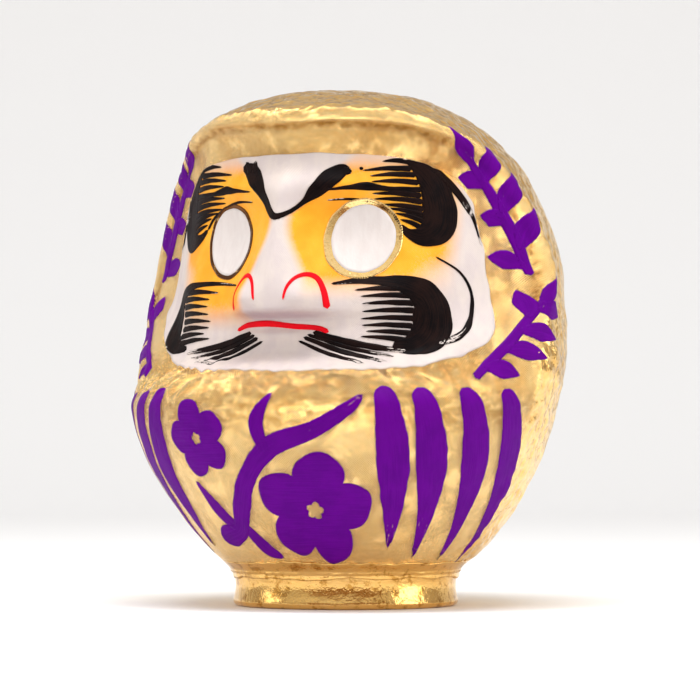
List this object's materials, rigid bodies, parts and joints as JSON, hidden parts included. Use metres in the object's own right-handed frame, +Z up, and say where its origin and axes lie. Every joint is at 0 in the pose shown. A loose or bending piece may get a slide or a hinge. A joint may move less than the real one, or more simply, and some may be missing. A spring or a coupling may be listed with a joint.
{
  "type": "daruma doll",
  "caption": "Round gilt papier-mache daruma doll with a painted white mask, blank eyes, purple shoulder strokes and a low round foot.",
  "frame": {"origin": "centre of the foot's flat underside, on the surface the doll stands on", "axes": "+Z up through the crown, the face looks along -Y, +X is to the right as a viewer sees the face"},
  "size_m": [0.1814, 0.1731, 0.2043],
  "materials": {
    "gold_foil": "satin",
    "white_face": "matte",
    "eye_white": "matte",
    "purple_paint": "satin",
    "black_ink": "satin",
    "red_ink": "satin",
    "clay": "matte",
    "card": "matte"
  },
  "bodies": {
    "root": {"shell": "gold_foil", "foot_ring": "gold_foil", "joint_strip": "gold_foil", "foot_cover": "card", "weight": "clay", "face_coat": "white_face", "eye_left": "eye_white", "eye_ring_left": "gold_foil", "brow_left": "black_ink", "whisker_left": "black_ink", "nostril_line_left": "red_ink", "eye_right": "eye_white", "eye_ring_right": "gold_foil", "brow_right": "black_ink", "whisker_right": "black_ink", "nostril_line_right": "red_ink", "frown": "black_ink", "mouth": "red_ink", "stripe_left_1": "purple_paint", "stripe_left_2": "purple_paint", "stripe_left_3": "purple_paint", "stripe_left_4": "purple_paint", "stripe_right_1": "purple_paint", "stripe_right_2": "purple_paint", "stripe_right_3": "purple_paint", "stripe_right_4": "purple_paint", "blossom_large": "purple_paint", "blossom_small": "purple_paint", "twig": "purple_paint", "sprig_upper_left": "purple_paint", "sprig_lower_left": "purple_paint", "sprig_upper_right": "purple_paint", "sprig_lower_right": "purple_paint"}
  },
  "joints": []
}
